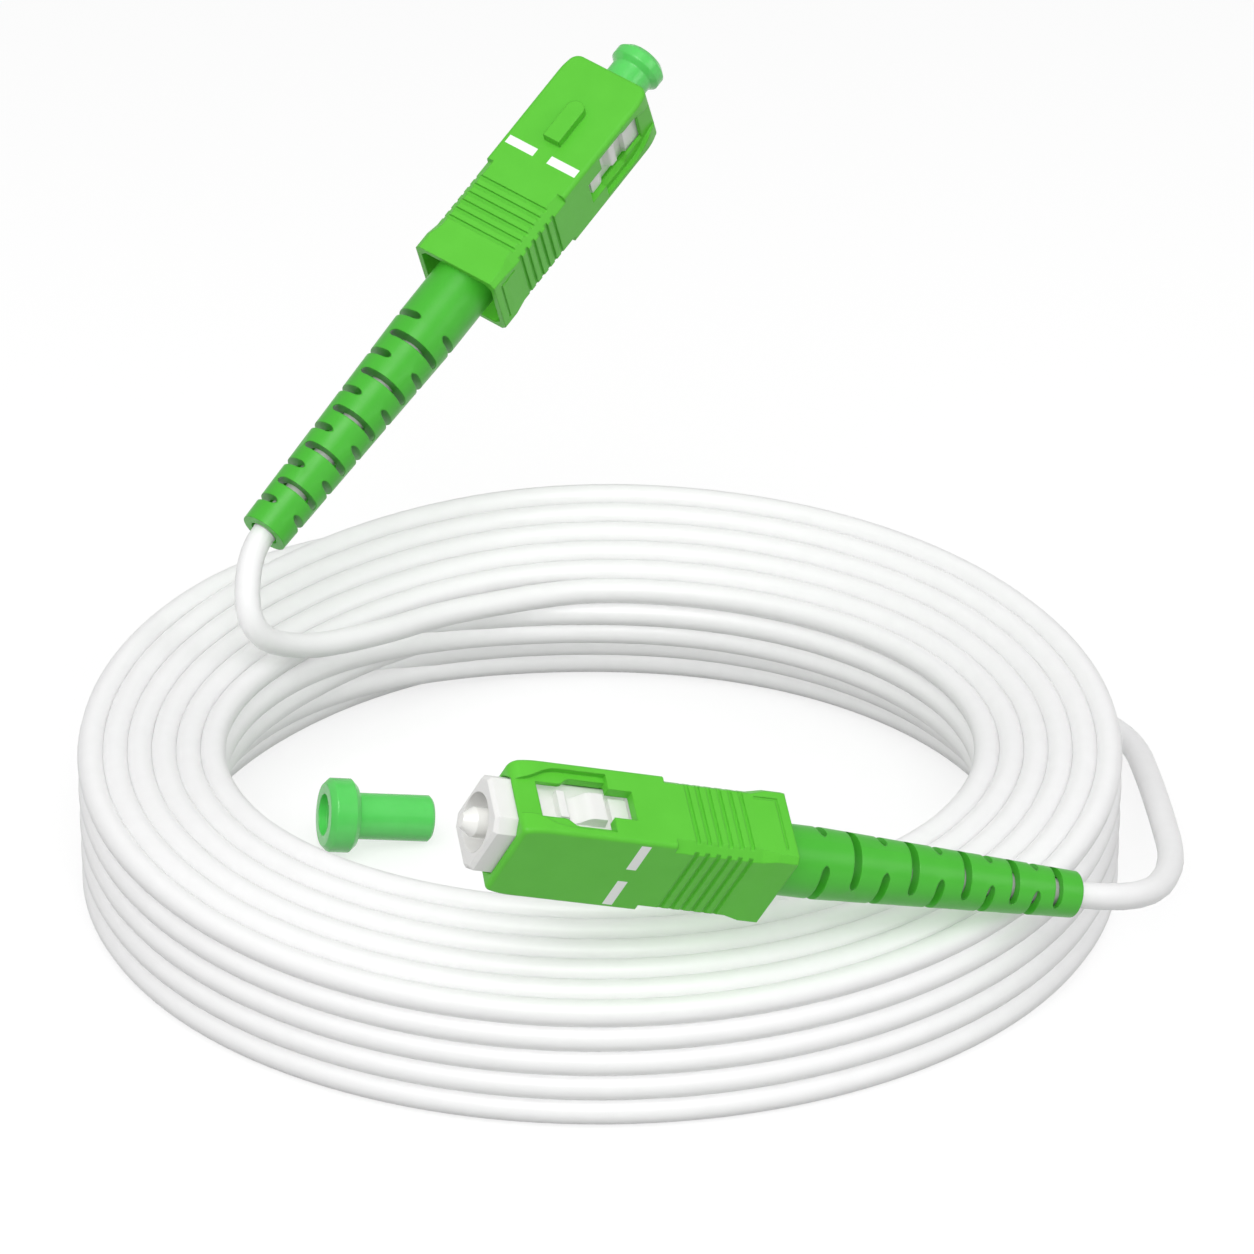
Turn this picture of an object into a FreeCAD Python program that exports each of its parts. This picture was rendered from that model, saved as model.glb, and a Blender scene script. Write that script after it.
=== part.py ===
import FreeCAD, Part
import math
import os

from FreeCAD import Placement, Rotation, Vector

# A simplex fibre patch cord: a wound white cable with an angled-polish SC plug on each end.
# Millimetres and degrees. The cord lies on the plane Z = 0 with the coil's centre at the origin.
#
# Each plug is modelled along its own X axis: X = 0 is the front edge of the outer housing, the nose
# points to +X, the key is on +Z and the latch windows are on +Y and -Y.

# ---- cable and coil ------------------------------------------------------------------------------
cable_dia = 2.34
turns_across = 6            # turns side by side in one layer
layers = 5
turn_pitch = 2.16           # between neighbouring turns of a layer
coil_mean_radius = 39.8
outer_lift = 4.7            # the outermost top turn stands this much higher at the back
inner_lift = 3.6            # the innermost top turn stands this much higher at the front
inner_undercut = 4.1        # the bottom layer's inner turn lies this much further out
undercut_layers = 2.5       # layers over which the inner side leans in
coil_sections = 36

# ---- where the two plugs lie: housing front centre, heading, climb and roll ----------------------
plug_a_at = (1.5, 52.85, 53.3)
plug_a_turn = (47.6, 31.3, 15.2)
plug_b_at = (-8.2, -48.2, 29.9)
plug_b_turn = (-159.5, 17.6, 62.9)

# ---- outer housing -------------------------------------------------------------------------------
housing_length = 25.0
housing_width = 9.0
housing_height = 7.4
nose_draw = 0.45            # each side draws in by this at the front edge
nose_taper = 2.4            # over this length
body_round = 0.4            # long edges of the front half
grip_start = 13.8           # the narrower rear half begins here
corner_round = 1.1          # front corners on the key side
corner_round_low = 0.5      # and on the other side
flare_start = 21.8          # the rear end spreads out again
flare_end = 23.2
rear_spread = 0.05          # each face stands out by this from the grip
grip_chamfer = 0.85
rear_chamfer = 0.5
groove_first = 16.0
groove_pitch = 1.0
groove_count = 6
groove_width = 0.4
groove_depth = 0.2
rear_wall = 0.5
rear_cavity_chamfer = 0.6
cavity_step = 17.0          # the boot's wide cavity begins here
key_width = 1.8
key_front = 4.8
key_back = 9.5
key_height = 0.9
bracket_line = 0.25         # engraved corner line on the narrow faces
bracket_depth = 0.12
bracket_back = 24.2
bracket_reach = 2.2
bracket_half = 2.6

# ---- latch windows in the narrow faces -----------------------------------------------------------
window_front = 2.05
window_half = 1.75          # half height at the front
window_flare = (4.0, 5.4)   # where the window opens out
window_wide_half = 2.4
window_wide_back = 8.4
window_tail_half = 1.45
window_back = 10.5
ledge_depth = 0.5           # the ledge round the window, under the narrow face
ledge_nose_half = 1.75
ledge_half = 2.95

# ---- plug frame ----------------------------------------------------------------------------------
frame_width = 7.0
frame_height = 6.0
frame_chamfer = 1.0
frame_nose = 1.9            # how far it stands out of a housing that is drawn back
grip_travel = 1.6           # the housing slides this far on the frame: B's is drawn back, A's is forward
frame_back = 18.0
frame_bevel = 0.3
frame_slide_gap = 0.1       # between frame and housing, each side
port_dia = 5.0              # socket round the ferrule
port_floor = 7.0
flange_seat = 8.2           # rear face of the wall that the ferrule flange seats on
seat_hole_dia = 3.7
chamber_dia = 4.6           # spring chamber
side_floor = 2.9            # half width at the foot of the latch teeth
side_pocket = (2.4, 10.6)
tooth_half = 1.35           # half height of the latch teeth
tooth_top = 3.9
stop_tooth = (3.95, 4.6)
stop_tooth_top = 3.7
ramp = (5.2, 7.1)
ramp_shoulder = 8.1
rear_tooth = (8.8, 10.4)
rear_tooth_top = 3.4        # low enough to pass under the housing wall
barb_slot_half = 1.1
barb_slot = (15.6, 17.0)

# ---- ferrule, flange, spring ---------------------------------------------------------------------
ferrule_dia = 2.5
ferrule_tip = 3.3           # tip in front of the housing
ferrule_cone = 1.1
ferrule_face_dia = 1.1
ferrule_polish = 8.0        # angle of the end face
ferrule_tail_dia = 2.1      # glued stretch in the flange
ferrule_tail = 1.4
flange_dia = 4.2
flange_length = 2.2
flange_bevel = 0.3
stem_dia = 2.4
stem_back = 17.0
fibre_bore = 1.1
buffer_dia = 0.9
buffer_back = 28.0
spring_wire = 0.4
spring_mean_dia = 3.5
spring_turns = 5
spring_steps = 12           # facets per turn
spring_facets = 6           # facets round the wire

# ---- stop body, crimp, boot ----------------------------------------------------------------------
stop_front = 15.2
barb_gap = 0.1
barb_proud = 0.4
collar_dia = 5.6
collar_back = 19.4
stop_tail_dia = 3.6
stop_back = 26.0
stop_bore = 2.7
crimp_wall = 0.4
crimp_front = 20.0
crimp_neck_start = 27.0
crimp_back = 30.0
boot_head_dia = 6.05
boot_head_back = 29.5
boot_bore = 2.8
boot_neck_gap = 0.1
slot_width = 0.75
slot_first = 2.4            # from the mouth to the middle of the first slot ring
slot_pitch_first = 2.1
slot_share = 0.89           # half length of a slot, as a share of the boot's radius there
boots = {                   # mouth, slot rings, and how far the boot sits turned on its crimp
    "a": {"back": 53.9, "mouth_dia": 4.55, "rings": 11, "pitch_last": 2.35, "turn": 32.0},
    "b": {"back": 54.1, "mouth_dia": 4.0, "rings": 10, "pitch_last": 2.95, "turn": -16.0},
}
jacket_front = 26.6
jacket_socket = 2.6         # blind hole that the buffer ends in

# ---- dust caps -----------------------------------------------------------------------------------
cap_bore_gap = 0.02
cap_tube_dia = 4.2
cap_flanges = {"a": (5.2, 1.9), "b": (6.7, 2.8)}     # diameter and length
cap_length = 9.9
cap_tip_gap = 1.35          # the cap on plug A isn't pushed fully home
cap_web = 0.4
cap_recess_dia = 3.8
cap_recess_depth = 0.8
cap_bevel = 0.5
loose_cap_at = (-15.4, 5.0)
loose_cap_heading = 194.0

# ---- free cable at each end, from the boot to the coil -------------------------------------------
route_a = [
    (-31.9, 12.1, 17.1),
    (-27.3, 16.7, 13.2),
    (-20.0, 23.1, 11.8),
    (-14.9, 28.6, 11.0),
    (-5.3, 33.4, 10.6),
    (4.2, 34.1, 10.6),
]
route_a_straight = 2.5      # first run, in line with the boot
route_b = [
    (50.0, -17.8, 9.4),
    (49.8, -4.5, 7.4),
    (49.5, 8.0, 5.0),
    (48.9, 18.2, 3.2),
    (44.5, 27.0, 1.8),
    (37.0, 34.0, 1.3),
    (28.0, 38.6, 1.2),
    (18.5, 41.2, 1.2),
]
route_b_straight = 7.0
arc_share = 0.45            # how much of the shorter run an arc may take


# ---- small helpers -------------------------------------------------------------------------------
def turned(profile):
    """Solid of revolution about X from (x, radius) points."""
    face = Part.Face(Part.makePolygon([Vector(x, r, 0) for x, r in profile + profile[:1]]))
    return face.revolve(Vector(0, 0, 0), Vector(1, 0, 0), 360)


def rod(x_back, x_front, dia):
    return Part.makeCylinder(dia / 2, x_front - x_back, Vector(x_back, 0, 0), Vector(1, 0, 0))


def block(x_range, y_range, z_range):
    size = [hi - lo for lo, hi in (x_range, y_range, z_range)]
    return Part.makeBox(*size, Vector(x_range[0], y_range[0], z_range[0]))


def octagon_bar(x_back, x_front, width, height, chamfer):
    """Bar along X whose section is a rectangle with cut corners."""
    w, h, c = width / 2, height / 2, chamfer
    corners = [(w, c - h), (w, h - c), (w - c, h), (c - w, h), (-w, h - c), (-w, c - h), (c - w, -h), (w - c, -h)]
    section = Part.makePolygon([Vector(x_back, y, z) for y, z in corners + corners[:1]])
    return Part.Face(section).extrude(Vector(x_front - x_back, 0, 0))


def line(a, b):
    return Part.LineSegment(Vector(*a), Vector(*b)).toShape()


def ess(a, b):
    """S-curve in the plane of a and b that leaves and arrives along X."""
    middle = (a[0] + b[0]) / 2
    curve = Part.BezierCurve()
    curve.setPoles([Vector(*a), Vector(middle, *a[1:]), Vector(middle, *b[1:]), Vector(*b)])
    return curve.toShape()


def octagon_flare(x_back, back, x_front, front):
    """Loft along X between two such sections, each given as (width, height, chamfer)."""
    ends = [octagon_bar(x, x + 1, *size).Faces for x, size in ((x_back, back), (x_front, front))]
    wires = [min(faces, key=lambda f: f.CenterOfMass.x).OuterWire for faces in ends]
    return Part.makeLoft(wires, True, True)


def mirrored(shape, normal):
    return shape.mirror(Vector(0, 0, 0), normal)


def both_sides(shape):
    return shape.fuse(mirrored(shape, Vector(0, 1, 0)))


def closed_face(edges):
    return Part.Face(Part.Wire(Part.__sortEdges__(edges)))


# ---- outer housing -------------------------------------------------------------------------------
def housing_front_block():
    """Front half: sides drawn in towards the nose, long edges rounded."""
    half = housing_width / 2
    nose = half - nose_draw
    radius = (nose_taper ** 2 + nose_draw ** 2) / (2 * nose_draw)
    swing = math.asin(nose_taper / radius) / 2
    bend = (radius * math.sin(swing) - nose_taper, half - radius * (1 - math.cos(swing)))
    bottom = -housing_height / 2
    edges = [line((0, -nose, bottom), (0, nose, bottom)), line((-grip_start, -half, bottom), (-grip_start, half, bottom))]
    for side in (1, -1):
        corner, start = Vector(-nose_taper, side * half, bottom), Vector(0, side * nose, bottom)
        edges.append(Part.Arc(start, Vector(bend[0], side * bend[1], bottom), corner).toShape())
        edges.append(line(tuple(corner), (-grip_start, side * half, bottom)))
    bar = closed_face(edges).extrude(Vector(0, 0, housing_height))
    corners = [e for e in bar.Edges if e.BoundBox.ZLength > housing_height / 2 and e.CenterOfMass.x > -0.01]
    for corner in corners:
        rises = corner.firstVertex(True).Z < corner.lastVertex(True).Z
        ends = (corner_round_low, corner_round) if rises else (corner_round, corner_round_low)
        same = [e for e in bar.Edges if (e.CenterOfMass - corner.CenterOfMass).Length < 0.01]
        bar = bar.makeFillet(*ends, same)
    long_edges = [e for e in bar.Edges if e.BoundBox.ZLength < 0.01 and e.CenterOfMass.x < -0.1
                  and abs(e.CenterOfMass.y) > nose / 2]
    return bar.makeFillet(body_round, long_edges)


def groove_rings():
    """Cutters that run round all four grip faces and stop at the cut corners."""
    outer = block((0, groove_width), (-housing_width, housing_width), (-housing_height, housing_height))
    inner = octagon_bar(0, groove_width, housing_width - 2 * groove_depth, housing_height - 2 * groove_depth,
                        grip_chamfer - 2 * groove_depth)
    ring = outer.cut(inner)
    return [ring.translated(Vector(-groove_first - i * groove_pitch, 0, 0)) for i in range(groove_count)]


def window_cut():
    """Through window of both narrow faces, with its flare and its narrower tail."""
    edges = [line((-window_front, 0, -window_half), (-window_front, 0, window_half)),
             line((-window_back, 0, -window_tail_half), (-window_back, 0, window_tail_half))]
    for side in (1, -1):
        edges.append(line((-window_front, 0, side * window_half), (-window_flare[0], 0, side * window_half)))
        edges.append(ess((-window_flare[0], 0, side * window_half), (-window_flare[1], 0, side * window_wide_half)))
        edges.append(line((-window_flare[1], 0, side * window_wide_half), (-window_wide_back, 0, side * window_wide_half)))
        edges.append(line((-window_wide_back, 0, side * window_wide_half), (-window_wide_back, 0, side * window_tail_half)))
        edges.append(line((-window_wide_back, 0, side * window_tail_half), (-window_back, 0, side * window_tail_half)))
    face = closed_face(edges)
    return face.translated(Vector(0, -housing_width, 0)).extrude(Vector(0, 2 * housing_width, 0))


def ledge_cut():
    """Shallow step from the nose to the back of the wide window, on one narrow face."""
    reach = 0.5
    edges = [line((reach, 0, -ledge_nose_half), (reach, 0, ledge_nose_half)),
             line((-window_wide_back, 0, -ledge_half), (-window_wide_back, 0, ledge_half))]
    for side in (1, -1):
        edges.append(line((reach, 0, side * ledge_nose_half), (0, 0, side * ledge_nose_half)))
        edges.append(ess((0, 0, side * ledge_nose_half), (-window_front - nose_taper, 0, side * ledge_half)))
        edges.append(line((-window_front - nose_taper, 0, side * ledge_half), (-window_wide_back, 0, side * ledge_half)))
    floor = housing_width / 2 - ledge_depth
    return closed_face(edges).translated(Vector(0, floor, 0)).extrude(Vector(0, housing_width, 0))


def bracket_cut():
    """Plain corner line engraved near the rear of one narrow face."""
    face = housing_width / 2 + rear_spread
    depth = (face - bracket_depth, face + 1)
    across = block((-bracket_back, -bracket_back + bracket_line), depth, (-bracket_half, bracket_half))
    along = block((-bracket_back, -bracket_back + bracket_reach), depth, (bracket_half - bracket_line, bracket_half))
    return across.fuse(along)


def key():
    half = key_width / 2
    top = housing_height / 2 + key_height
    bar = block((-key_back, -key_front - half), (-half, half), (housing_height / 2 - rear_wall, top))
    nose = Part.makeCylinder(half, key_height + rear_wall, Vector(-key_front - half, 0, housing_height / 2 - rear_wall))
    return bar.fuse(nose)


def outer_housing():
    grip = (housing_width, housing_height, grip_chamfer)
    rear = (housing_width + 2 * rear_spread, housing_height + 2 * rear_spread, rear_chamfer)
    waist = octagon_bar(-flare_start, -grip_start, *grip)
    flare = octagon_flare(-flare_end, rear, -flare_start, grip)
    end = octagon_bar(-housing_length, -flare_end, *rear)
    shell = housing_front_block().fuse([waist, flare, end, key()])
    gap = 2 * frame_slide_gap
    plug_way = octagon_bar(-cavity_step - 1, 1, frame_width + gap, frame_height + gap, frame_chamfer)
    boot_way = octagon_bar(-housing_length - 1, -cavity_step, grip[0] - 2 * rear_wall, grip[1] - 2 * rear_wall,
                           rear_cavity_chamfer)
    cuts = [plug_way, boot_way, window_cut(), both_sides(ledge_cut()), both_sides(bracket_cut())]
    return shell.cut(cuts + groove_rings()).removeSplitter()


# ---- plug frame ----------------------------------------------------------------------------------
def latch_teeth():
    """Stop tooth, latch ramp and rear tooth that show in one window."""
    foot = side_floor - 0.2
    low = side_floor
    stop_front_x, stop_back_x = stop_tooth
    edges = [
        line((-stop_front_x, foot, 0), (-stop_front_x, stop_tooth_top, 0)),
        line((-stop_front_x, stop_tooth_top, 0), (-stop_back_x, stop_tooth_top, 0)),
        ess((-stop_back_x, stop_tooth_top, 0), (-ramp[0], low, 0)),
        ess((-ramp[0], low, 0), (-ramp[1], tooth_top, 0)),
        line((-ramp[1], tooth_top, 0), (-ramp_shoulder, tooth_top, 0)),
        line((-ramp_shoulder, tooth_top, 0), (-ramp_shoulder - 0.2, foot, 0)),
        line((-ramp_shoulder - 0.2, foot, 0), (-stop_front_x, foot, 0)),
    ]
    teeth = closed_face(edges).extrude(Vector(0, 0, 2 * tooth_half)).translated(Vector(0, 0, -tooth_half))
    tail_half = window_tail_half - frame_slide_gap
    rear = block((-rear_tooth[1], -rear_tooth[0]), (foot, rear_tooth_top), (-tail_half, tail_half))
    return teeth.fuse(rear)


def plug_frame():
    bar = octagon_bar(-frame_back, frame_nose, frame_width, frame_height, frame_chamfer)
    nose_edges = [e for e in bar.Edges if e.BoundBox.XLength < 0.01 and e.CenterOfMass.x > 0]
    bar = bar.makeChamfer(frame_bevel, nose_edges)
    pocket = block((-side_pocket[1], -side_pocket[0]), (side_floor, frame_width), (-frame_height, frame_height))
    bar = bar.cut(both_sides(pocket)).fuse(both_sides(latch_teeth()))
    bores = turned([(frame_nose + 1, 0), (frame_nose + 1, port_dia / 2), (-port_floor, port_dia / 2),
                    (-port_floor, seat_hole_dia / 2), (-flange_seat, seat_hole_dia / 2),
                    (-flange_seat, chamber_dia / 2), (-frame_back - 1, chamber_dia / 2), (-frame_back - 1, 0)])
    slot = block((-barb_slot[1], -barb_slot[0]), (-barb_slot_half, barb_slot_half), (-frame_height, frame_height))
    return bar.cut([bores, slot]).removeSplitter()


# ---- ferrule group -------------------------------------------------------------------------------
def ferrule():
    """Ceramic ferrule with a coned nose and an end face polished at an angle."""
    body = turned([(-flange_seat - ferrule_tail, 0), (-flange_seat - ferrule_tail, ferrule_tail_dia / 2),
                   (-flange_seat, ferrule_tail_dia / 2), (-flange_seat, ferrule_dia / 2),
                   (ferrule_tip - ferrule_cone, ferrule_dia / 2), (ferrule_tip, ferrule_face_dia / 2),
                   (ferrule_tip, 0)])
    lean = math.radians(ferrule_polish)
    chip = block((0, ferrule_dia), (-ferrule_dia, ferrule_dia), (-ferrule_dia, ferrule_dia))
    chip.Placement = Placement(Vector(ferrule_tip - ferrule_face_dia / 2 * math.tan(lean), 0, 0),
                               Rotation(Vector(0, 1, 0), -ferrule_polish))
    return body.cut(chip)


def ferrule_flange():
    back = -flange_seat - flange_length
    outer = flange_dia / 2
    return turned([(-flange_seat, ferrule_tail_dia / 2), (-flange_seat, outer - flange_bevel),
                   (-flange_seat - flange_bevel, outer), (back, outer), (back, stem_dia / 2),
                   (-stem_back, stem_dia / 2), (-stem_back, fibre_bore / 2),
                   (-flange_seat - ferrule_tail, fibre_bore / 2),
                   (-flange_seat - ferrule_tail, ferrule_tail_dia / 2)])


def buffer_tube():
    return rod(-buffer_back, -flange_seat - ferrule_tail, buffer_dia)


def spring():
    """Compression spring between the ferrule flange and the stop body, with a faceted wire."""
    back = -stop_front + spring_wire / 2
    run = stop_front - flange_seat - flange_length - spring_wire
    count = spring_turns * spring_steps
    sections = []
    for i in range(count + 1):
        angle = 2 * math.pi * i / spring_steps
        centre = Vector(back + run * i / count, 0, 0)
        outward = Vector(0, math.cos(angle), math.sin(angle))
        corners = []
        for j in range(spring_facets):
            lean = 2 * math.pi * j / spring_facets
            along, across = math.sin(lean) * spring_wire / 2, math.cos(lean) * spring_wire / 2
            corners.append(centre + outward * (spring_mean_dia / 2 + across) + Vector(along, 0, 0))
        sections.append(Part.makePolygon(corners + corners[:1]))
    return Part.makeLoft(sections, True, True)


# ---- rear of the plug ----------------------------------------------------------------------------
def stop_body():
    bore = stop_bore / 2
    body = turned([(-stop_front, bore), (-stop_front, chamber_dia / 2), (-frame_back, chamber_dia / 2),
                   (-frame_back, collar_dia / 2), (-collar_back, collar_dia / 2),
                   (-collar_back, stop_tail_dia / 2), (-stop_back, stop_tail_dia / 2), (-stop_back, bore)])
    half = barb_slot_half - barb_gap
    reach = chamber_dia / 2 + barb_proud
    barbs = block((-barb_slot[1] + barb_gap, -barb_slot[0] - barb_gap), (-half, half), (-reach, reach))
    return body.fuse(barbs.cut(rod(-frame_back, -stop_front, chamber_dia - barb_proud))).removeSplitter()


def crimp_sleeve():
    inner, neck = stop_tail_dia / 2, cable_dia / 2
    return turned([(-crimp_front, inner), (-crimp_front, inner + crimp_wall),
                   (-stop_back - crimp_wall, inner + crimp_wall), (-crimp_neck_start, neck + crimp_wall),
                   (-crimp_back, neck + crimp_wall), (-crimp_back, neck), (-crimp_neck_start, neck),
                   (-stop_back, inner)])


def jacket_end(boot_back):
    """The stretch of cable that the boot holds."""
    jacket = rod(-boot_back, -jacket_front, cable_dia)
    return jacket.cut(rod(-jacket_front - jacket_socket, 0, fibre_bore))


def boot_radius(from_mouth, back, mouth_dia):
    taper = (boot_head_dia - mouth_dia) / 2 / (back - boot_head_back)
    return min(mouth_dia / 2 + taper * from_mouth, boot_head_dia / 2)


def slot_places(rings, pitch_last):
    """Distances of the slot rings from the mouth, drawing apart towards the head."""
    places = [slot_first]
    for i in range(rings - 1):
        places.append(places[-1] + slot_pitch_first + (pitch_last - slot_pitch_first) * i / (rings - 2))
    return places


def boot_slot(x, radius):
    """Round-ended cutter that opens a pair of opposite slots, along Y."""
    half = slot_share * radius - slot_width / 2
    reach = boot_head_dia
    bar = block((x - slot_width / 2, x + slot_width / 2), (-reach, reach), (-half, half))
    ends = [Part.makeCylinder(slot_width / 2, 2 * reach, Vector(x, -reach, z), Vector(0, 1, 0)) for z in (half, -half)]
    return bar.fuse(ends)


def boot(back, mouth_dia, rings, pitch_last, turn):
    sleeve_out = stop_tail_dia / 2 + crimp_wall
    neck_out = cable_dia / 2 + crimp_wall + boot_neck_gap
    cone_front = -stop_back - crimp_wall
    body = turned([(-collar_back, sleeve_out), (-collar_back, boot_head_dia / 2),
                   (-boot_head_back, boot_head_dia / 2), (-back, mouth_dia / 2),
                   (-back, boot_bore / 2), (-crimp_back - boot_neck_gap, boot_bore / 2),
                   (-crimp_back - boot_neck_gap, neck_out), (-crimp_neck_start, neck_out),
                   (cone_front, sleeve_out)])
    slots = []
    for i, place in enumerate(slot_places(rings, pitch_last)):
        slot = boot_slot(place - back, boot_radius(place, back, mouth_dia))
        slot.rotate(Vector(0, 0, 0), Vector(1, 0, 0), turn + 90 * (i % 2))
        slots.append(slot)
    return body.cut(slots)


# ---- dust cap ------------------------------------------------------------------------------------
def dust_cap(flange_dia, flange_length):
    """Cap with its tube over the ferrule; its flange stands in front of the plug frame."""
    floor = ferrule_tip + cap_tip_gap
    recess = floor + cap_web
    front = recess + cap_recess_depth
    back = front - cap_length
    outer, tube, bore = flange_dia / 2, cap_tube_dia / 2, ferrule_dia / 2 + cap_bore_gap
    rim = front - flange_length
    return turned([(floor, 0), (floor, bore), (back, bore), (back, tube - cap_bevel / 2), (back + cap_bevel / 2, tube),
                   (rim, tube), (rim, outer - cap_bevel), (rim + cap_bevel, outer), (front - cap_bevel, outer),
                   (front, outer - cap_bevel), (front, cap_recess_dia / 2), (recess, cap_recess_dia / 2),
                   (recess, 0)])


# ---- cable ---------------------------------------------------------------------------------------
def turn_lift(share, angle):
    """Lift of a top-layer turn: share runs from 0 at the inner turn to 1 at the outer one."""
    back = (1 + math.sin(angle)) / 2
    return outer_lift * share * back + inner_lift * (1 - share) * (1 - back)


def cable_coil():
    """Outer shape of the wound cable: a ring whose turns fan out towards the top."""
    reach = turn_pitch * (turns_across - 1) / 2 + cable_dia / 2
    low, high = coil_mean_radius - reach, coil_mean_radius + reach
    foot = low + inner_undercut
    sections = []
    for i in range(coil_sections):
        angle = 2 * math.pi * i / coil_sections
        top = [layers * cable_dia + turn_lift(share, angle) for share in (0, 1)]
        corners = [(foot, -cable_dia), (high, -cable_dia), (high, top[1]), (low, top[0]),
                   (low, undercut_layers * cable_dia), (foot, 0)]
        points = [Vector(r * math.cos(angle), r * math.sin(angle), z) for r, z in corners]
        sections.append(Part.makePolygon(points + points[:1]))
    ring = Part.makeLoft(sections, True, True, True)
    below = Part.makeCylinder(2 * high, 2 * cable_dia, Vector(0, 0, -2 * cable_dia))
    return ring.cut(below).removeSplitter()


def tube_along(name, points):
    """Cable along straight runs joined by tangent arcs, each as large as its runs allow."""
    points = [Vector(p) for p in points]
    edges, at, radii = [], points[0], []
    for before, corner, after in zip(points, points[1:], points[2:]):
        back, ahead = before - corner, after - corner
        reach = arc_share * min(back.Length, ahead.Length)
        back.normalize()
        ahead.normalize()
        turn = math.pi - back.getAngle(ahead)
        radius = reach / math.tan(turn / 2)
        radii.append(radius)
        bisector = back + ahead
        bisector.normalize()
        middle = corner + bisector * (math.hypot(reach, radius) - radius)
        start, end = corner + back * reach, corner + ahead * reach
        edges += [Part.LineSegment(at, start).toShape(), Part.Arc(start, middle, end).toShape()]
        at = end
    edges.append(Part.LineSegment(at, points[-1]).toShape())
    path = Part.Wire(edges)
    start_dir = points[1] - points[0]
    ring = Part.Wire(Part.makeCircle(cable_dia / 2, points[0], start_dir))
    tube = path.makePipeShell([ring], True, False)
    expected = math.pi * cable_dia ** 2 / 4 * path.Length
    print(name, "length %.1f" % path.Length, "volume ratio %.4f" % (tube.Volume / expected),
          "radii", " ".join("%.1f" % r for r in radii))
    return tube


def lead(name, place, boot_back, straight, route):
    mouth = place.multVec(Vector(-boot_back, 0, 0))
    first = place.multVec(Vector(-boot_back - straight, 0, 0))
    return tube_along(name, [mouth, first] + [Vector(*p) for p in route])


# ---- assembly ------------------------------------------------------------------------------------
def plug_place(at, turn):
    heading, climb, roll = turn
    return Placement(Vector(*at), Rotation(heading, -climb, roll))


def loose_cap_place():
    """The loose cap lies on its flange rim and the edge of its tube."""
    flange_dia, flange_length = cap_flanges["b"]
    rim_run = cap_length - flange_length + cap_bevel / 2
    drop = (flange_dia - cap_tube_dia) / 2
    climb = math.degrees(math.atan2(drop, rim_run))
    turn = Rotation(loose_cap_heading, -climb, 0)
    return turn, climb


def plug_pieces(side):
    """Everything that stays with the plug frame."""
    return {
        "plug_frame": plug_frame(),
        "ferrule": ferrule(),
        "ferrule_flange": ferrule_flange(),
        "spring": spring(),
        "stop_body": stop_body(),
        "crimp_sleeve": crimp_sleeve(),
        "buffer_tube": buffer_tube(),
        "jacket_end": jacket_end(boots[side]["back"]),
        "boot": boot(**boots[side]),
    }


def placed(shape, place):
    moved = shape.copy()
    moved.Placement = place.multiply(moved.Placement)
    return moved


def main():
    nodes = {}
    coil = cable_coil()
    nodes["cable_coil"] = coil
    grips = {"a": plug_place(plug_a_at, plug_a_turn), "b": plug_place(plug_b_at, plug_b_turn)}
    drawn = Placement(Vector(-grip_travel, 0, 0), Rotation())
    frames = {"a": grips["a"].multiply(drawn), "b": grips["b"]}
    for side in "ab":
        nodes["outer_housing_" + side] = placed(outer_housing(), grips[side])
        for name, shape in plug_pieces(side).items():
            nodes[name + "_" + side] = placed(shape, frames[side])
    nodes["dust_cap_a"] = placed(dust_cap(*cap_flanges["a"]), frames["a"])
    turn, climb = loose_cap_place()
    cap = dust_cap(*cap_flanges["b"])
    low = cap.BoundBox.XMin
    lying = cap.translated(Vector(-low, 0, 0))
    lying = placed(lying, Placement(Vector(*loose_cap_at, 0), turn))
    nodes["dust_cap_b"] = lying.translated(Vector(0, 0, -lying.optimalBoundingBox().ZMin))
    routes = {"a": (route_a_straight, route_a), "b": (route_b_straight, route_b)}
    for side, (straight, route) in routes.items():
        name = "lead_" + side
        nodes[name] = lead(name, frames[side], boots[side]["back"], straight, route).cut(coil)
    os.makedirs("parts", exist_ok=True)
    for name, shape in nodes.items():
        solids = shape.Solids
        print("%-20s solids %d valid %s volume %.3f" % (name, len(solids), shape.isValid(), shape.Volume))
        shape.exportStep("parts/%s.step" % name)


main()
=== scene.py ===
import math

import bpy
from mathutils import Euler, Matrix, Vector


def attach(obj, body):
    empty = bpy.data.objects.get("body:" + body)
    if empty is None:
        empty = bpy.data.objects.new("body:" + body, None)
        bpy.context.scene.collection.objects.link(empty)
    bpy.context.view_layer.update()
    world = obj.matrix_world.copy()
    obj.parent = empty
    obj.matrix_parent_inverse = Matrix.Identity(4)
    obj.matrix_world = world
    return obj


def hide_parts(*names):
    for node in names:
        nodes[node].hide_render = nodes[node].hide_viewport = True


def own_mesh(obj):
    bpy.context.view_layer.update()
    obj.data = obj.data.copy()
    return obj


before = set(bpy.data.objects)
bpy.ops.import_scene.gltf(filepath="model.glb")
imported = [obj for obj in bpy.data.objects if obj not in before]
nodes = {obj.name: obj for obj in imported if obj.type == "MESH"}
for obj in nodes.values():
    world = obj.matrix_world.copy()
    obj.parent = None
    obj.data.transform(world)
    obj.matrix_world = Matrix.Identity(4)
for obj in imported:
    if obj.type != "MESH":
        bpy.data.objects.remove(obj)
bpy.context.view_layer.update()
mm = 0.001

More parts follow.
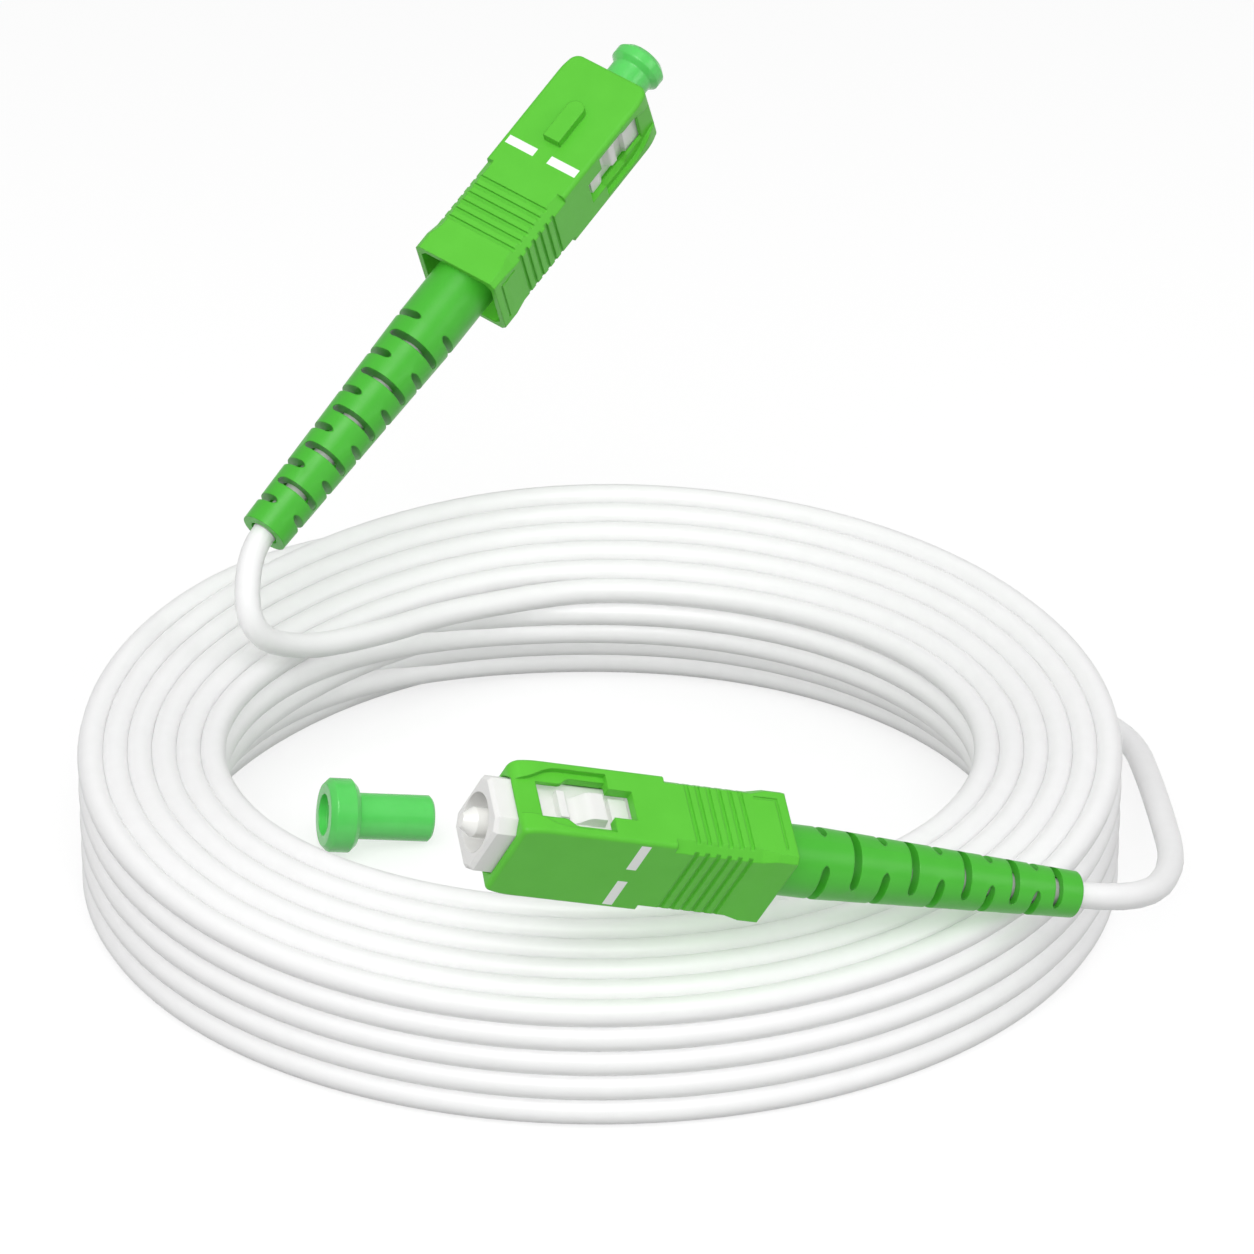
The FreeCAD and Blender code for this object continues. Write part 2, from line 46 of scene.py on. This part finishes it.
# where each plug lies, in millimetres and degrees: the middle of its housing's front edge,
# then heading, climb and roll. mouth is the boot's end on the plug's own axis
plugs = {
    "a": {"at": (1.5, 52.85, 53.3), "turn": (47.6, 31.3, 15.2), "mouth": -55.5},
    "b": {"at": (-8.2, -48.2, 29.9), "turn": (-159.5, 17.6, 62.9), "mouth": -54.1},
}


def plugTurn(side):
    heading, climb, roll = (math.radians(v) for v in plugs[side]["turn"])
    return (Euler((0, 0, heading)).to_matrix() @ Euler((0, -climb, 0)).to_matrix()
            @ Euler((roll, 0, 0)).to_matrix())


def onPlug(side, x):
    return Vector(plugs[side]["at"]) + plugTurn(side) @ Vector((x, 0, 0))


# the cable, in millimetres
cable = {
    "diameter": 2.34,
    "length": 6490.0,
    "outerRadius": 45.2,
    # from the top layer down: how many turns lie side by side, and where the inner one lies
    "layers": [(6, 34.4), (6, 34.4), (5, 35.0), (4, 36.9), (4, 38.5)],
    "outerLift": 4.7,           # rise of the top layer's outer turn at the back
    "innerLift": 3.6,           # rise of the top layer's inner turn at the front
    "changeOver": 60,           # degrees at the end of a turn in which it moves to the next place
    "leadOutRadius": 47.5,
    "straight": {"a": 2.5, "b": 7.0},
    "leadA": [
        (-31.9, 12.1, 17.1),
        (-27.3, 16.7, 13.2),
        (-20.0, 23.1, 11.8),
        (-14.9, 28.6, 11.0),
        (-5.3, 33.4, 10.6),
    ],
    "leadB": [
        (19.5, 43.3, 1.2),
        (28.0, 38.6, 1.2),
        (37.0, 34.0, 1.3),
        (44.5, 27.0, 1.8),
        (48.9, 18.2, 3.2),
        (49.5, 8.0, 5.0),
        (49.8, -4.5, 7.4),
        (50.0, -17.8, 9.4),
    ],
    "pointsPerTurn": 30,
    "stepsPerPoint": 5,
    "roundness": 4,
}


def turnHeight(radius, depth, angle):
    top = len(cable["layers"]) - 1
    inner = cable["layers"][0][1]
    share = (radius - inner) / (cable["outerRadius"] - inner)
    back = (1 + math.sin(angle)) / 2
    lift = cable["outerLift"] * share * back + cable["innerLift"] * (1 - share) * (1 - back)
    return cable["diameter"] * (top - depth + 0.5) + lift * (top - depth) / top


def turnRadii():
    # every turn's radius and depth, wound outward in one layer and inward in the next
    turns = []
    for depth, (count, inner) in enumerate(cable["layers"]):
        gap = (cable["outerRadius"] - inner) / (count - 1)
        radii = [inner + gap * i for i in range(count)]
        turns += [(radius, depth) for radius in (radii if depth % 2 == 0 else radii[::-1])]
    return turns


def smoothStep(share):
    return share * share * (3 - 2 * share)


def coilPoints():
    steps = cable["pointsPerTurn"]
    # a curve of third order runs inside its points by this share of the radius
    shrink = 0.75 + 0.25 * math.cos(2 * math.pi / steps)
    changeSteps = steps * cable["changeOver"] / 360
    turns = turnRadii()
    points = []
    for number, (ownRadius, depth) in enumerate(turns):
        for step in range(steps):
            angle = math.pi / 2 - 2 * math.pi * step / steps
            radius, height = ownRadius, turnHeight(ownRadius, depth, angle)
            share = smoothStep(max(0, (step - (steps - changeSteps)) / changeSteps))
            if number + 1 < len(turns):
                nextRadius, nextDepth = turns[number + 1]
                nextHeight = turnHeight(nextRadius, nextDepth, angle)
            else:
                nextRadius, nextHeight = cable["leadOutRadius"], cable["diameter"] / 2
            radius += (nextRadius - radius) * share
            height += (nextHeight - height) * share
            across = radius / shrink
            points.append((across * math.cos(angle), across * math.sin(angle), height))
    return points


def bootEnd(side):
    mouth = plugs[side]["mouth"]
    return [onPlug(side, mouth), onPlug(side, mouth - cable["straight"][side])]


def cablePiece():
    points = bootEnd("a") + cable["leadA"] + coilPoints() + cable["leadB"] + bootEnd("b")[::-1]
    data = bpy.data.curves.new("cable", "CURVE")
    data.dimensions = "3D"
    data.resolution_u = cable["stepsPerPoint"]
    data.bevel_resolution = cable["roundness"]
    data.bevel_depth = 1.0      # each point's own radius is the cable's
    spline = data.splines.new("NURBS")
    spline.points.add(len(points) - 1)
    for place, point in zip(spline.points, points):
        place.co = (*(Vector(point) * mm), 1)
        place.radius = cable["diameter"] / 2 * mm
    spline.order_u = 3
    spline.use_endpoint_u = True
    piece = bpy.data.objects.new("cable", data)
    bpy.context.collection.objects.link(piece)
    print("cable:", len(points), "points")
    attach(piece, "cord")
    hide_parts("cable_coil", "lead_a", "lead_b")
    points[0] * mm
    return piece


wholeCable = cablePiece()

# each spring lies between its ferrule's flange and its stop body, in millimetres behind the
# front edge
springs = {"a": {"front": 12.0, "back": 16.8}, "b": {"front": 10.4, "back": 15.2}}

for side, ends in springs.items():
    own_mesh(nodes["spring_" + side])
print("springs done")


class Field:
    # a socket that can be used in plain arithmetic
    def __init__(self, tree, socket):
        self.tree, self.socket = tree, socket

    def math(self, operation, *others, clamp=False):
        node = self.tree.nodes.new("ShaderNodeMath")
        node.operation = operation
        node.use_clamp = clamp
        for slot, value in zip(node.inputs, (self, *others)):
            join(self.tree, slot, value)
        return Field(self.tree, node.outputs[0])

    def __add__(self, other):
        return self.math("ADD", other)

    def __mul__(self, other):
        return self.math("MULTIPLY", other)

    def __sub__(self, other):
        return self.math("SUBTRACT", other)

    def __rsub__(self, other):
        return (self * -1) + other

    __radd__, __rmul__ = __add__, __mul__

    def size(self):
        return self.math("ABSOLUTE")

    def clamped(self):
        return self.math("ADD", 0, clamp=True)

    def within(self, low, high, soft=0.02):
        # 1 between low and high, 0 outside, over a soft edge
        rise = (self - (low - soft)) * (1 / (2 * soft))
        fall = ((high + soft) - self) * (1 / (2 * soft))
        return rise.clamped() * fall.clamped()


def join(tree, socket, value):
    if isinstance(value, Field):
        tree.links.new(value.socket, socket)
    else:
        socket.default_value = value


class Finish:
    def __init__(self, name, inputs):
        self.material = bpy.data.materials.new(name)
        self.material.use_nodes = True
        self.tree = self.material.node_tree
        self.shader = self.tree.nodes["Principled BSDF"]
        for socket, value in inputs.items():
            self.shader.inputs[socket].default_value = value

    def node(self, kind, settings, sockets):
        made = self.tree.nodes.new("ShaderNode" + kind)
        for name, value in settings.items():
            setattr(made, name, value)
        for name, value in sockets.items():
            join(self.tree, made.inputs[name], value)
        return made

    def out(self, node, name=0):
        return Field(self.tree, node.outputs[name])

    def feed(self, name, field):
        self.tree.links.new(field.socket, self.shader.inputs[name])

    def place(self, at=(0, 0, 0), turn=(0, 0, 0)):
        # Object coordinates in millimetres, from the given place and turn
        source = self.out(self.node("TexCoord", {}, {}), "Object")
        return self.out(self.node("Mapping", {"vector_type": "TEXTURE"}, {
            "Vector": source, "Location": at, "Rotation": turn, "Scale": (mm, mm, mm)}))

    def noise(self, place, scale, detail):
        return self.out(self.node("TexNoise", {}, {
            "Vector": place, "Scale": scale, "Detail": detail}), "Fac")

    def mix(self, share, first, second):
        # the colour sockets of a Mix node, by number, because their names are shared
        return self.out(self.node("Mix", {"data_type": "RGBA"}, {0: share, 6: first, 7: second}), 2)

    def bump(self, height, strength, depth, edge):
        sockets = {"Strength": strength, "Distance": depth * mm, "Height": height}
        if edge:
            sockets["Normal"] = self.out(self.node("Bevel", {"samples": 6}, {"Radius": edge * mm}))
        self.feed("Normal", self.out(self.node("Bump", {}, sockets)))


def linear(red, green, blue):
    # from 0 to 255 as written on screen
    def one(v):
        v /= 255
        return v / 12.92 if v <= 0.04045 else ((v + 0.055) / 1.055) ** 2.4
    return (one(red), one(green), one(blue), 1)


def dimmed(colour, share):
    return tuple(share * v for v in colour[:3]) + (1,)


# each surface: its two shades and how they cloud (scale per millimetre and detail), its lowest
# roughness and how much is added, then fine grain with strength, depth and rounded edge in mm
green = {"rough": 0.34, "roughMore": 0.12, "haze": (2.0, 3.0), "grain": (9.0, 4.0),
         "strength": 0.12, "depth": 0.05, "edge": 0.18}
looks = {
    "housing_green": {
        **green, "shades": (linear(86, 188, 48), linear(94, 197, 56)), "clouds": (0.35, 3.0),
        "inputs": {"Specular IOR Level": 0.3}},
    "boot_green": {
        **green, "shades": (linear(66, 175, 44), linear(74, 184, 52)), "clouds": (0.4, 2.0),
        "rough": 0.3, "roughMore": 0.1, "haze": (3.0, 3.0), "grain": (7.0, 4.0),
        "strength": 0.06, "edge": 0.14, "inputs": {"Specular IOR Level": 0.4}},
    "cap_green": {
        **green, "shades": (linear(84, 203, 90), linear(94, 211, 100)), "clouds": (0.5, 2.0),
        "rough": 0.2, "roughMore": 0.06, "haze": (3.0, 3.0), "grain": (8.0, 4.0),
        "strength": 0.02, "depth": 0.04, "edge": 0.2,
        "inputs": {"Specular IOR Level": 0.6, "Subsurface Weight": 0.25, "Subsurface Scale": 0.0012,
                   "Subsurface Radius": (0.4, 1.0, 0.45)}},
}
whites = {
    "frame_white": {"colour": (231, 231, 229), "rough": 0.33, "soft": 0.15, "grain": 8.0},
    "zirconia": {"colour": (240, 240, 236), "rough": 0.11, "soft": 0.0, "grain": 14.0},
    "buffer_white": {"colour": (236, 236, 234), "rough": 0.37, "soft": 0.0, "grain": 8.0},
    # painted shade: the jacket is white, and this grey stands in for the shade deep in the boots'
    # slots
    "jacket_painted_shade": {"colour": (188, 188, 186), "rough": 0.4, "soft": 0.0, "grain": 8.0},
    "cable_white": {"colour": (242, 242, 242), "rough": 0.35, "soft": 0.25, "grain": 5.0},
}
metals = {
    "plated_metal": {"colour": (196, 194, 186), "rough": 0.18},
    "spring_steel": {"colour": (176, 176, 178), "rough": 0.15},
    "crimp_metal": {"colour": (205, 205, 206), "rough": 0.22},
}
for name, own in whites.items():
    bright = linear(*own["colour"])
    looks[name] = {
        "shades": (dimmed(bright, 0.96), bright), "clouds": (0.6, 2.0),
        "rough": own["rough"], "roughMore": 0.1, "haze": (3.0, 3.0),
        "grain": (own["grain"], 4.0), "strength": 0.1, "depth": 0.04, "edge": 0.08,
        "inputs": {"Subsurface Weight": own["soft"], "Subsurface Scale": 0.0006,
                   "Subsurface Radius": (1, 1, 1)}}
for name, own in metals.items():
    bright = linear(*own["colour"])
    looks[name] = {
        "shades": (dimmed(bright, 0.85), bright), "clouds": (1.5, 4.0),
        "rough": own["rough"], "roughMore": 0.2, "haze": (5.0, 3.0),
        "grain": (12.0, 3.0), "strength": 0.1, "depth": 0.02, "edge": 0,
        "inputs": {"Metallic": 1.0}}

# the two white bars on each face with a key: along the plug, across it and above its axis
bars = {"from": 10.65, "to": 11.55, "inner": 0.8, "outer": 4.0, "face": 3.5, "over": 6,
        "colour": (240, 244, 240), "roughMore": 0.08, "raised": 0.6}


def barMask(finish, place):
    apart = finish.node("SeparateXYZ", {}, {"Vector": place})
    x, y, z = (finish.out(apart, i) for i in range(3))
    mask = x.within(-bars["to"], -bars["from"]) * y.size().within(bars["inner"], bars["outer"])
    return mask * z.size().within(bars["face"], bars["over"])


def makeFinish(name, side=None, barred=False):
    look = looks[name]
    finish = Finish(name + "_" + side if side else name, look["inputs"])
    if side:
        place = finish.place(Vector(plugs[side]["at"]) * mm, plugTurn(side).to_euler())
    else:
        place = finish.place()
    colour = finish.mix(finish.noise(place, *look["clouds"]), *look["shades"])
    rough = finish.noise(place, *look["haze"]) * look["roughMore"] + look["rough"]
    height = finish.noise(place, *look["grain"])
    if barred:
        mask = barMask(finish, place)
        colour = finish.mix(mask, colour, linear(*bars["colour"]))
        rough = rough + mask * bars["roughMore"]
        height = height + mask * bars["raised"]
    finish.feed("Base Color", colour)
    finish.feed("Roughness", rough)
    finish.bump(height, look["strength"], look["depth"], look["edge"])
    return finish.material


def dress(piece, material):
    piece.data.materials.clear()
    piece.data.materials.append(material)


wears = {
    "plug_frame": "frame_white",
    "ferrule": "zirconia",
    "ferrule_flange": "plated_metal",
    "spring": "spring_steel",
    "stop_body": "plated_metal",
    "crimp_sleeve": "crimp_metal",
    "buffer_tube": "buffer_white",
    # the jacket inside each boot gets painted shade, grey for the shade in the boot's slots
    "jacket_end": "jacket_painted_shade",
    "dust_cap": "cap_green",
}
plain = {name: makeFinish(name) for name in [*whites, *metals, "cap_green"]}
for side in "ab":
    dress(nodes["outer_housing_" + side], makeFinish("housing_green", side, barred=True))
    dress(nodes["boot_" + side], makeFinish("boot_green", side))
    for part, name in wears.items():
        dress(nodes[part + "_" + side], plain[name])
dress(wholeCable, plain["cable_white"])
print("materials done")

stage = {"floorSize": 6.0, "floorDrop": 0.00005, "floorWhite": 0.45, "floorGlow": 0.56,
         "floorRough": 0.9, "world": 0.5, "lampsAim": (0, 0, 0.02)}
lamps = {
    "front": {"at": (-0.1, -0.6, 0.9), "size": 1.0, "power": 3.4, "shadow": True},
    "flat": {"at": (-0.1, -0.66, 0.86), "size": 0.6, "power": 5.2, "shadow": False},
    "fill": {"at": (0.85, -0.3, 0.45), "size": 0.5, "power": 1.0, "shadow": True},
}
view = {"at": (2.40, -519.7, 282.5), "elevation": 26.46, "lens": 189.0, "sensor": 36.0,
        "near": 0.01}


def floorFinish():
    # the floor looks white, and gives the object no more light than its own colour does
    finish = Finish("floor", {"Roughness": stage["floorRough"], "Specular IOR Level": 0.0,
                              "Base Color": (stage["floorWhite"],) * 3 + (1,)})
    path = finish.node("LightPath", {}, {})
    seen = finish.out(path, "Is Camera Ray").math("MAXIMUM", finish.out(path, "Is Glossy Ray"))
    seen = seen.math("MAXIMUM", finish.out(path, "Is Transmission Ray"))
    glow = finish.node("Emission", {}, {
        "Color": (1, 1, 1, 1), "Strength": seen * stage["floorGlow"]})
    both = finish.node("AddShader", {}, {
        0: finish.out(finish.shader), 1: finish.out(glow)})
    join(finish.tree, finish.tree.nodes["Material Output"].inputs["Surface"], finish.out(both))
    return finish.material


def areaLight(name, at, size, power, shadow):
    data = bpy.data.lights.new(name, "AREA")
    data.shape = "DISK"
    data.size = size
    data.energy = power
    data.use_shadow = shadow
    lamp = bpy.data.objects.new(name, data)
    bpy.context.collection.objects.link(lamp)
    lamp.location = at
    aim = Vector(stage["lampsAim"]) - Vector(at)
    lamp.rotation_euler = aim.to_track_quat("-Z", "Y").to_euler()


bpy.ops.object.select_all(action="DESELECT")
bpy.ops.mesh.primitive_plane_add(size=stage["floorSize"], location=(0, 0, -stage["floorDrop"]))
floor = bpy.context.object
floor.name = "floor"
dress(floor, floorFinish())

world = bpy.data.worlds.new("room")
bpy.context.scene.world = world
world.use_nodes = True
tree = world.node_tree
lightPath = tree.nodes.new("ShaderNodeLightPath")
surround = tree.nodes["Background"]
surround.inputs["Color"].default_value = (1, 1, 1, 1)
seen = Field(tree, lightPath.outputs["Is Camera Ray"])
seen = seen.math("MAXIMUM", Field(tree, lightPath.outputs["Is Transmission Ray"]))
join(tree, surround.inputs["Strength"], seen * (1 - stage["world"]) + stage["world"])

for name, own in lamps.items():
    areaLight(name, **own)

cameraData = bpy.data.cameras.new("camera")
cameraData.sensor_width = view["sensor"]
cameraData.lens = view["lens"]
cameraData.clip_start = view["near"]
camera = bpy.data.objects.new("camera", cameraData)
bpy.context.collection.objects.link(camera)
camera.location = Vector(view["at"]) * mm
camera.rotation_euler = (math.radians(90 - view["elevation"]), 0, 0)
bpy.context.scene.camera = camera
bpy.context.scene.view_settings.view_transform = "Standard"
print("floor, light and camera done")

bpy.context.view_layer.update()
